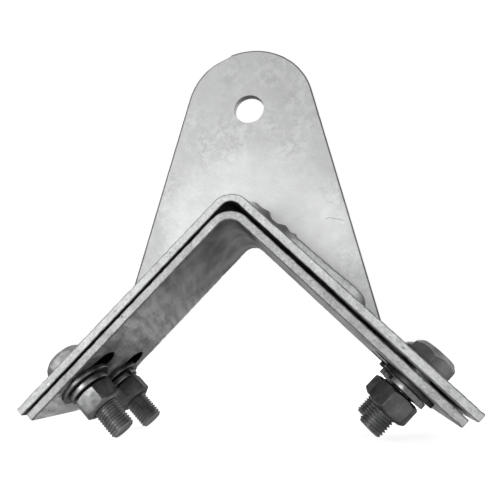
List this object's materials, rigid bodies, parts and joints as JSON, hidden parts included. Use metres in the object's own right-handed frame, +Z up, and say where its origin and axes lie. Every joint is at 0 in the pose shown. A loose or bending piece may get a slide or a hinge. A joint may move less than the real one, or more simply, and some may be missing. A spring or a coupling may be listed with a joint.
{
  "type": "pole clamp",
  "caption": "Angle-leg pole clamp: two nested bent straps drawn together by bolts, with a welded teardrop lug for hanging a fitting.",
  "frame": {"origin": "centre of the lug's hole, at the middle of the lug plate's thickness", "axes": "+Z up, away from the V; +Y along the lug's hole, away from the viewer of the picture; +X to the viewer's right"},
  "size_m": [0.2758, 0.09, 0.2773],
  "materials": {
    "strap_zinc": "hot-dip galvanised, mottled grey with streaks and specks",
    "lug_zinc": "hot-dip galvanised, pale cloudy mottle",
    "weld_zinc": "galvanised weld bead, uneven and rippled",
    "bolt_zinc": "dull galvanised, darker on the thread",
    "nut_dark": "dark charcoal galvanised",
    "washer_zinc": "galvanised, bright rims"
  },
  "bodies": {
    "clamp_body": {"outer_angle": "strap_zinc", "lug_plate": "lug_zinc", "weld_front": "weld_zinc", "weld_back": "weld_zinc", "bolt_left_front": "bolt_zinc", "bolt_left_back": "bolt_zinc", "bolt_right_front": "bolt_zinc", "bolt_right_back": "bolt_zinc"},
    "inner_strap": {"inner_angle": "strap_zinc"},
    "washers_left_front": {"flat_washer_left_front": "washer_zinc", "spring_washer_left_front": "washer_zinc"},
    "nut_body_left_front": {"nut_left_front": "nut_dark"},
    "washers_left_back": {"flat_washer_left_back": "washer_zinc", "spring_washer_left_back": "washer_zinc"},
    "nut_body_left_back": {"nut_left_back": "nut_dark"},
    "washers_right_front": {"flat_washer_right_front": "washer_zinc", "spring_washer_right_front": "washer_zinc"},
    "nut_body_right_front": {"nut_right_front": "nut_dark"},
    "washers_right_back": {"flat_washer_right_back": "washer_zinc", "spring_washer_right_back": "washer_zinc"},
    "nut_body_right_back": {"nut_right_back": "nut_dark"}
  },
  "joints": [
    {"name": "jaw_open", "type": "slide", "parent": "clamp_body", "child": "inner_strap", "axis": [0, 0, -1], "range_m": [-0.0011, 0.0141]},
    {"name": "washer_slide_left_front", "type": "slide", "parent": "clamp_body", "child": "washers_left_front", "axis": [0.7071, 0, -0.7071], "range_m": [-0.0008, 0.01]},
    {"name": "nut_turn_left_front", "type": "hinge", "parent": "washers_left_front", "child": "nut_body_left_front", "pos_m": [-0.10258, -0.024, -0.20139], "axis": [0.7071, 0, -0.7071], "range_deg": [-142, 1798]},
    {"name": "washer_slide_left_back", "type": "slide", "parent": "clamp_body", "child": "washers_left_back", "axis": [0.7071, 0, -0.7071], "range_m": [-0.0008, 0.01]},
    {"name": "nut_turn_left_back", "type": "hinge", "parent": "washers_left_back", "child": "nut_body_left_back", "pos_m": [-0.10258, 0.024, -0.20139], "axis": [0.7071, 0, -0.7071], "range_deg": [-142, 1798]},
    {"name": "washer_slide_right_front", "type": "slide", "parent": "clamp_body", "child": "washers_right_front", "axis": [-0.7071, 0, -0.7071], "range_m": [-0.0008, 0.01]},
    {"name": "nut_turn_right_front", "type": "hinge", "parent": "washers_right_front", "child": "nut_body_right_front", "pos_m": [0.09258, -0.024, -0.20139], "axis": [-0.7071, 0, -0.7071], "range_deg": [-142, 1798]},
    {"name": "washer_slide_right_back", "type": "slide", "parent": "clamp_body", "child": "washers_right_back", "axis": [-0.7071, 0, -0.7071], "range_m": [-0.0008, 0.01]},
    {"name": "nut_turn_right_back", "type": "hinge", "parent": "washers_right_back", "child": "nut_body_right_back", "pos_m": [0.09258, 0.024, -0.20139], "axis": [-0.7071, 0, -0.7071], "range_deg": [-142, 1798]}
  ],
  "couplings": [
    {"joint": "washer_slide_left_front", "follows": "jaw_open", "ratio": 0.70711},
    {"joint": "nut_turn_left_front", "follows": "jaw_open", "rad_per_m": 2221.4},
    {"joint": "washer_slide_left_back", "follows": "jaw_open", "ratio": 0.70711},
    {"joint": "nut_turn_left_back", "follows": "jaw_open", "rad_per_m": 2221.4},
    {"joint": "washer_slide_right_front", "follows": "jaw_open", "ratio": 0.70711},
    {"joint": "nut_turn_right_front", "follows": "jaw_open", "rad_per_m": 2221.4},
    {"joint": "washer_slide_right_back", "follows": "jaw_open", "ratio": 0.70711},
    {"joint": "nut_turn_right_back", "follows": "jaw_open", "rad_per_m": 2221.4}
  ]
}
